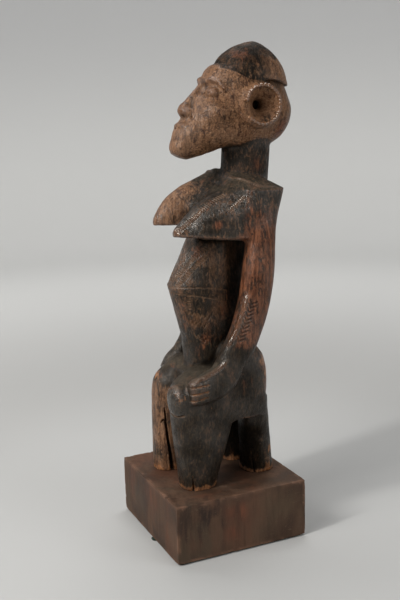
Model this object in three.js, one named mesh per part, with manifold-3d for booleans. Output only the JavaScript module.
// A seated ancestor figure, carved with its stool from one length of wood. It stands on a square
// display block and is held by four wood screws that come up through the block into the four posts.
// Millimetres, +Z up. The figure faces -Y and its left side is +X. The origin is on the ground,
// under the block's centre.
import * as THREE from "three";
import { mergeVertices } from "three/addons/utils/BufferGeometryUtils.js";
import Module from "manifold-3d";

const wasm = await Module();
wasm.setup();

// Display block and its felt
const BLOCK_WIDTH = 144;
const BLOCK_DEPTH = 140;
const BLOCK_TOP = 60;
const BLOCK_EDGE = 1; // small chamfer worn on every edge of the block
const FELT_THICKNESS = 1.5;
const FELT_INSET = 2;
const FELT_CORNER = 4;
const FELT_TAB = [9, 9, 4]; // place, width and reach of the scrap of felt that shows at the front

// Screws: a 5 x 60 wood screw in a counterbore, on a plain washer
const SCREW_RADIUS = 2.4;
const SCREW_GRIP = 28; // how far the screw goes up into a post
const SCREW_CLEARANCE = 0.3;
const COUNTERBORE_RADIUS = 9;
const COUNTERBORE_DEPTH = 26;
const WASHER_RADIUS = 7.5;
const WASHER_THICKNESS = 1.2;
const HEAD_RADIUS = 4.7;
const HEAD_HEIGHT = 3.4;
const HOLE_SIDES = 24;
const SCREW_SIDES = 16;

// Where the four posts stand on the block: x, y
const POSTS = {
  front_left: [30, -29],
  front_right: [-28, -34],
  rear_left: [18, 43],
  rear_right: [-20, 36],
};

const HEAD_PIVOT = [0, 46, 330]; // top of the neck, where the head is tilted from
const HEAD_TILT = THREE.MathUtils.degToRad(25);
const EAR = { y: -15, z: 34, radius: 19.5, rim: 3.5, out: 36 };
// Left hand: outer face, fingertips, top of the hand, width of a finger
const FINGERS = { x: 53, y: -48, top: 112, pitch: 6 };

// ---- shape tools ----

const UP = new THREE.Vector3(0, 0, 1);
const BACK = new THREE.Vector3(0, 1, 0);
const ACROSS = new THREE.Vector3(1, 0, 0);

// A closed solid drawn through stations [x, y, z, half width, front, back]. Its rings lie square to
// `along`, or to its own path where that is left out. For a ring that faces UP the front is -Y; for
// one that faces BACK it is +Z. `square` 2 gives ellipses and more gives squarer rings; `crisp`
// keeps straight runs with a ridge at each station.
function loft(stations, { along, sides = 18, rings = 8, square = 2, crisp = false } = {}) {
  const tension = crisp ? 0 : 0.5;
  const curve = (points) => new THREE.CatmullRomCurve3(points, false, "catmullrom", tension);
  const centres = curve(stations.map((s) => new THREE.Vector3(s[0], s[1], s[2])));
  const sizes = curve(stations.map((s) => new THREE.Vector3(s[3], s[4], s[5])));
  const geometry = new THREE.CylinderGeometry(1, 1, 1, sides, rings);
  const place = geometry.getAttribute("position");
  const squared = (v) => Math.sign(v) * Math.abs(v) ** (2 / square);
  for (let i = 0; i < place.count; i++) {
    const t = THREE.MathUtils.clamp(place.getY(i) + 0.5, 0, 1);
    const radius = Math.hypot(place.getX(i), place.getZ(i));
    const angle = Math.atan2(place.getZ(i), place.getX(i));
    const size = sizes.getPoint(t);
    const path = centres.getPoint(Math.min(t + 0.01, 1)).sub(centres.getPoint(Math.max(t - 0.01, 0)));
    const ahead = along ?? path;
    const front = new THREE.Vector3().crossVectors(ACROSS, ahead).normalize();
    const reach = Math.sin(angle) > 0 ? size.y : size.z;
    const point = centres
      .getPoint(t)
      .addScaledVector(ACROSS, size.x * radius * squared(Math.cos(angle)))
      .addScaledVector(front, reach * radius * squared(Math.sin(angle)));
    place.setXYZ(i, point.x, point.y, point.z);
  }
  return solid(geometry);
}

// The same geometry as a solid that can be joined and cut.
function solid(geometry) {
  const bare = geometry.index ? geometry.toNonIndexed() : geometry.clone();
  bare.deleteAttribute("normal");
  bare.deleteAttribute("uv");
  const merged = mergeVertices(bare, 1e-4);
  return new wasm.Manifold(
    new wasm.Mesh({
      numProp: 3,
      vertProperties: new Float32Array(merged.attributes.position.array),
      triVerts: new Uint32Array(merged.index.array),
    }),
  );
}

const profile = (...points) => points.map(([radius, height]) => new THREE.Vector2(radius, height));

// A mirrored geometry is inside out until each of its triangles is turned over.
function turnedOver(geometry) {
  const index = geometry.getIndex();
  for (let i = 0; i < index.count; i += 3) {
    const first = index.getX(i);
    index.setX(i, index.getX(i + 1));
    index.setX(i + 1, first);
  }
  return geometry;
}

// An upright cylinder from z = low to z = high.
function post(x, y, low, high, radius, sides = HOLE_SIDES) {
  const geometry = new THREE.CylinderGeometry(radius, radius, high - low, sides);
  return solid(geometry.rotateX(Math.PI / 2).translate(x, y, (low + high) / 2));
}

// A block with a chamfer along its four upright edges and round its top and bottom.
function chamferedBlock(width, depth, low, high, chamfer) {
  const shape = new THREE.Shape();
  const [w, d] = [width / 2 - chamfer, depth / 2 - chamfer];
  shape.moveTo(-w, -d).lineTo(w, -d).lineTo(w, d).lineTo(-w, d).closePath();
  const geometry = new THREE.ExtrudeGeometry(shape, {
    depth: high - low - 2 * chamfer,
    bevelThickness: chamfer,
    bevelSize: chamfer,
    bevelSegments: 1,
  });
  return solid(geometry.translate(0, 0, low + chamfer));
}

const join = (...solids) => solids.reduce((whole, next) => whole.add(next));

function geometryOf(manifold) {
  const mesh = manifold.getMesh();
  return new THREE.BufferGeometry()
    .setAttribute("position", new THREE.BufferAttribute(mesh.vertProperties, 3))
    .setIndex(new THREE.BufferAttribute(mesh.triVerts, 1));
}

// ---- the carved figure: z is measured up from the soles, which stand on the block ----

function torso() {
  return loft(
    [
      [0, 5, 104, 26, 29, 30],
      [0, 4, 143, 24.5, 30.5, 30],
      [0, 2, 196, 29, 42, 36],
      [0, 12, 243, 28, 28, 38],
      [0, 18, 266, 28, 26, 38],
    ],
    { along: UP, sides: 24, rings: 8, square: 2.2, crisp: true },
  );
}

function shoulders() {
  return loft(
    [
      [0, 37, 243, 53, 17, 18],
      [0, 39, 264, 53, 19, 22],
      [0, 41, 280, 54, 22, 25],
      [0, 42, 289, 53, 25, 27],
      [0, 37, 295, 41, 21, 22],
      [0, 29, 301, 29, 13, 18],
      [0, 25, 305, 15, 7, 10],
    ],
    { along: UP, sides: 28, rings: 6, square: 3.4, crisp: true },
  );
}

function neck() {
  return loft(
    [
      [0, 43, 282, 24, 24, 23],
      [0, 45, 312, 23.5, 23.5, 23.5],
      [0, 46.5, 342, 23.5, 23.5, 23.5],
    ],
    { along: UP, rings: 4 },
  );
}

// A pointed breast with a flat underside, drawn from its tip back into the chest.
const BREAST_LEFT = [
  [24, -44, 250.5, 2.5, 3, 3],
  [24.5, -41, 250, 6.5, 7, 2.5],
  [25, -31, 249, 13, 18, 2.5],
  [26, -16, 248, 19.5, 30, 2.5],
  [26, 2, 246, 24, 40, 2.5],
  [25, 24, 244, 26, 53, 2.5],
];

const BREAST_RIGHT = [
  [-24, -44.5, 256, 2.5, 3, 3],
  [-24, -41.5, 256, 7, 9, 2.5],
  [-24.5, -31, 255.5, 13.5, 23, 2.5],
  [-25, -16, 255, 19, 34, 2.5],
  [-25, 2, 253, 24, 44, 2.5],
  [-24, 24, 250, 26, 55, 2.5],
];

const ARM_LEFT = [
  [46, 3, 124, 10, 17, 16],
  [47, 10, 137, 11.5, 17.5, 17],
  [47.5, 17.5, 153, 11.5, 16.5, 16.5],
  [48, 23, 168, 11.5, 16, 16.5],
  [48, 29.5, 192, 11.5, 16, 16],
  [48, 33.5, 219, 11.5, 15.5, 15.5],
  [47, 36, 244, 11.5, 14, 14],
  [43, 38, 264, 10, 14, 14],
  [40, 40, 280, 8, 12, 12],
];

const ARM_RIGHT = ARM_LEFT.map(([x, ...rest]) => [-x, ...rest]);

const HAND_LEFT = [
  [48, -43, 101, 5, 10, 11],
  [49, -39, 101.5, 7, 13, 12.5],
  [49, -28, 104, 8, 15, 15],
  [48.5, -12, 109, 9, 17, 16.5],
  [48, 2, 117, 10, 17, 16],
  [47, 10, 128, 10, 16, 15],
];

const HAND_RIGHT = [
  [-42, -34, 98, 5, 8, 9],
  [-42, -30, 99, 7, 13, 12],
  [-43, -20, 104, 8.5, 17, 15],
  [-44, -8, 112, 9.5, 19, 16],
  [-45, 3, 121, 10, 18, 16],
  [-46, 11, 131, 10, 16, 15],
];

function seat() {
  return loft(
    [
      [0, 6, 65, 45, 36, 42],
      [0, 6, 78, 48, 38, 42.5],
      [0, 6, 100, 48, 38, 42.5],
      [0, 6, 111, 46, 36, 41],
      [0, 8, 117, 40, 26, 34],
    ],
    { along: UP, sides: 28, rings: 8, square: 4.5 },
  );
}

function hips() {
  return loft(
    [
      [0, 20, 92, 44, 24, 26],
      [0, 20, 118, 46, 26, 28.5],
      [0, 20, 130, 42, 24, 24],
      [0, 19, 137, 36, 20, 18],
      [0, 18, 143, 26, 16, 12],
    ],
    { along: UP, sides: 24, rings: 8, square: 3.6 },
  );
}

// Each front post is a leg that swells up into its thigh and knee; each rear post is only the stool.
const LEGS = {
  front_left: [
    [30.5, -29, 0, 17, 18, 17.5],
    [30.5, -27, 14, 17.5, 21.5, 19.5],
    [31, -25, 41, 19, 26.5, 26.5],
    [31, -24, 64, 20, 30, 32],
    [31, -24, 86, 20.5, 31.5, 34],
    [30, -23, 101, 19.5, 31, 34],
    [28, -18, 110, 16, 27, 30],
    [26, -12, 117, 10, 18, 24],
  ],
  front_right: [
    [-28, -34, 0, 15.5, 17.5, 16],
    [-28.5, -33.5, 20, 16, 17.5, 18],
    [-29, -32, 44, 18, 18.5, 22],
    [-30, -30, 68, 19, 19.5, 28],
    [-30, -28, 86, 19, 20.5, 30],
    [-29, -25, 97, 18, 20.5, 28],
    [-27, -20, 107, 14, 17, 24],
    [-25, -14, 114, 9, 12, 20],
  ],
  rear_left: [
    [18, 43, 0, 17, 16.5, 17.5],
    [19.5, 41.5, 15, 16, 15, 16],
    [22, 39, 46, 16, 15, 15],
    [25, 36, 82, 17, 15, 13],
  ],
  rear_right: [
    [-20, 36, 0, 15.5, 15, 17],
    [-21, 36, 15, 15.5, 15, 16],
    [-23, 36, 46, 16, 15, 15],
    [-25, 35, 82, 17, 15, 13],
  ],
};

function kneeCap() {
  return solid(new THREE.SphereGeometry(1, 16, 10).scale(13, 9, 17).translate(34, -49, 90));
}

// The grooves that part the four fingers of the left hand.
function fingerGrooves() {
  const groove = (i) =>
    solid(
      new THREE.BoxGeometry(5, 26, 1.3)
        .rotateX(-0.1 - 0.05 * i)
        .rotateZ(-0.2)
        .translate(FINGERS.x + 2.5, FINGERS.y + 13, FINGERS.top - FINGERS.pitch * i),
    );
  return join(groove(1), groove(2), groove(3));
}

// ---- the head, upright, about the top of the neck; tilted back when it is joined on ----

function skull() {
  return loft(
    [
      [0, -61, -38, 7, 8, 8],
      [0, -58, -33, 13, 14, 12],
      [0, -52, -23, 19, 21, 18],
      [0, -46, -13, 24, 26, 24],
      [0, -34, -4, 27, 37, 36],
      [0, -24, 6, 29, 46, 42],
      [0, -18, 20, 31.5, 51, 47],
      [0, -17, 34, 33, 49, 49],
      [0, -17, 48, 32.5, 48, 46],
      [0, -18, 62, 29, 39, 32],
      [0, -21, 76, 20, 23, 22],
      [0, -22, 84, 9, 10, 9],
    ],
    { along: UP, sides: 28, rings: 16, square: 2.3 },
  );
}

function hair() {
  const dome = loft(
    [
      [0, -18, 42, 34.5, 48, 50],
      [0, -18, 54, 34, 46, 41],
      [0, -19, 65, 31.5, 38, 35],
      [0, -21, 77, 25, 27, 26],
      [0, -25, 86, 16, 15, 17],
      [0, -26, 90, 6, 6, 8],
    ],
    { along: UP, sides: 28, rings: 10, square: 2.2 },
  );
  const below = new THREE.BoxGeometry(120, 160, 60).translate(0, 0, -30).rotateX(0.2);
  return dome.subtract(solid(below.translate(0, -20, 59)));
}

function nose() {
  return loft(
    [
      [0, -68, -2, 8, 8, 8],
      [0, -69, 2, 9, 12, 8],
      [0, -67, 12, 6.5, 9.5, 8],
      [0, -65, 26, 4.5, 5, 6],
      [0, -63, 38, 5, 4, 6],
    ],
    { along: UP, sides: 16, rings: 8, square: 2.4 },
  );
}

function lips() {
  const lip = (z, width, out) =>
    solid(new THREE.SphereGeometry(1, 12, 8).scale(width, 6, 3).translate(0, -69 - out, z));
  return join(lip(-11.5, 12, 1.5), lip(-17, 11, 1));
}

function eye(side) {
  const almond = new THREE.SphereGeometry(1, 12, 8).scale(9, 6, 4.2).rotateZ(side * 0.45);
  return solid(almond.translate(side * 16, -60, 26));
}

// An ear is a thin raised ring, open low at the front, round a hollow that narrows to a pierced centre.
function ear(side) {
  const [inner, outer] = [EAR.radius - EAR.rim, EAR.radius];
  const section = profile(
    [inner, -9],
    [outer + 3, -9],
    [outer, 0],
    [outer - 1, 1.5],
    [inner + 1, 1.5],
    [inner, 0],
    [inner, -9],
  );
  const ring = new THREE.LatheGeometry(section, 28);
  const opening = new THREE.BoxGeometry(12, 16, 13).rotateX(0.5);
  opening.translate(6, -EAR.radius * 0.8, -EAR.radius * 0.6);
  const outward = solid(ring.rotateZ(-Math.PI / 2)).subtract(solid(opening));
  const placed = geometryOf(outward).scale(side, 1, 1).translate(side * EAR.out, EAR.y, EAR.z);
  return solid(side < 0 ? turnedOver(placed) : placed);
}

function earHollow(side) {
  const inner = EAR.radius - EAR.rim;
  const section = profile(
    [0, -20],
    [2.4, -20],
    [3.4, -12],
    [inner * 0.6, -6],
    [inner - 0.3, -2.5],
    [inner - 0.3, 4],
    [0, 4],
  );
  const dish = new THREE.LatheGeometry(section, 24);
  return solid(dish.rotateZ((-side * Math.PI) / 2).translate(side * EAR.out, EAR.y, EAR.z));
}

function head() {
  const whole = join(skull(), hair(), nose(), lips(), eye(1), eye(-1), ear(1), ear(-1));
  const pierced = whole.subtract(earHollow(1)).subtract(earHollow(-1));
  const tilted = geometryOf(pierced).rotateX(-HEAD_TILT).translate(...HEAD_PIVOT);
  return solid(tilted);
}

function carvedFigure() {
  const figure = join(
    torso(),
    shoulders(),
    neck(),
    seat(),
    hips(),
    kneeCap(),
    head(),
    loft(BREAST_LEFT, { along: BACK, sides: 20, rings: 10 }),
    loft(BREAST_RIGHT, { along: BACK, sides: 20, rings: 10 }),
    loft(ARM_LEFT, { along: UP, sides: 16, rings: 10, square: 2.8 }),
    loft(ARM_RIGHT, { along: UP, sides: 16, rings: 10, square: 2.8 }),
    loft(HAND_LEFT, { along: BACK, rings: 8, square: 2.8 }),
    loft(HAND_RIGHT, { along: BACK, rings: 8, square: 2.8 }),
    ...Object.values(LEGS).map((leg) => loft(leg, { along: UP, sides: 20, rings: 10, square: 2.4 })),
  );
  const pilots = Object.values(POSTS).map(([x, y]) =>
    post(x, y, -1, SCREW_GRIP + 1, SCREW_RADIUS + SCREW_CLEARANCE),
  );
  return figure.subtract(join(fingerGrooves(), ...pilots));
}

// ---- the display block, its felt and its screws ----

function displayBlock() {
  let block = chamferedBlock(BLOCK_WIDTH, BLOCK_DEPTH, FELT_THICKNESS, BLOCK_TOP, BLOCK_EDGE);
  for (const [x, y] of Object.values(POSTS)) {
    const seatZ = FELT_THICKNESS + COUNTERBORE_DEPTH;
    block = block.subtract(post(x, y, 0, BLOCK_TOP + 1, SCREW_RADIUS + SCREW_CLEARANCE));
    block = block.subtract(post(x, y, 0, seatZ, COUNTERBORE_RADIUS));
  }
  return block;
}

function felt() {
  const [w, d] = [BLOCK_WIDTH / 2 - FELT_INSET, BLOCK_DEPTH / 2 - FELT_INSET];
  const r = FELT_CORNER;
  const [place, width, reach] = FELT_TAB;
  const shape = new THREE.Shape();
  shape.moveTo(-w + r, -d);
  shape.lineTo(place - width / 2, -d).lineTo(place - width / 3, -d - reach);
  shape.lineTo(place + width / 3, -d - reach).lineTo(place + width / 2, -d);
  shape.lineTo(w - r, -d).absarc(w - r, -d + r, r, -Math.PI / 2, 0, false);
  shape.lineTo(w, d - r).absarc(w - r, d - r, r, 0, Math.PI / 2, false);
  shape.lineTo(-w + r, d).absarc(-w + r, d - r, r, Math.PI / 2, Math.PI, false);
  shape.lineTo(-w, -d + r).absarc(-w + r, -d + r, r, Math.PI, Math.PI * 1.5, false);
  return solid(
    new THREE.ExtrudeGeometry(shape, { depth: FELT_THICKNESS, bevelEnabled: false, curveSegments: 5 }),
  );
}

function washer(x, y) {
  const top = FELT_THICKNESS + COUNTERBORE_DEPTH;
  const ring = post(x, y, top - WASHER_THICKNESS, top, WASHER_RADIUS);
  return ring.subtract(post(x, y, top - 5, top + 5, SCREW_RADIUS + SCREW_CLEARANCE));
}

function screw(x, y) {
  const headTop = FELT_THICKNESS + COUNTERBORE_DEPTH - WASHER_THICKNESS;
  const tip = BLOCK_TOP + SCREW_GRIP;
  const outline = profile(
    [0, headTop - HEAD_HEIGHT],
    [HEAD_RADIUS * 0.72, headTop - HEAD_HEIGHT],
    [HEAD_RADIUS, headTop - HEAD_HEIGHT * 0.55],
    [HEAD_RADIUS, headTop],
    [SCREW_RADIUS, headTop],
    [SCREW_RADIUS, tip - 6],
    [0, tip],
  );
  return solid(new THREE.LatheGeometry(outline, SCREW_SIDES).rotateX(Math.PI / 2).translate(x, y, 0));
}

// ---- the assembly ----

const carvedWood = new THREE.MeshStandardMaterial({ color: 0x3d2418, roughness: 0.5, metalness: 0 });
const blockWood = new THREE.MeshStandardMaterial({ color: 0x3f2a22, roughness: 0.65, metalness: 0 });
const greenFelt = new THREE.MeshStandardMaterial({ color: 0x16261c, roughness: 1, metalness: 0 });
const steel = new THREE.MeshStandardMaterial({ color: 0x9a9a98, roughness: 0.35, metalness: 1 });

function piece(name, manifold, material) {
  const mesh = new THREE.Mesh(geometryOf(manifold), material);
  mesh.name = name;
  return mesh;
}

const assembly = new THREE.Group();
const figure = new THREE.Group();
figure.position.z = BLOCK_TOP;
figure.add(piece("carved_figure", carvedFigure(), carvedWood));
assembly.add(figure);
assembly.add(piece("display_block", displayBlock(), blockWood));
assembly.add(piece("felt_sheet", felt(), greenFelt));
for (const [place, [x, y]] of Object.entries(POSTS)) {
  assembly.add(piece("screw_" + place, screw(x, y), steel));
  assembly.add(piece("washer_" + place, washer(x, y), steel));
}

export default assembly;
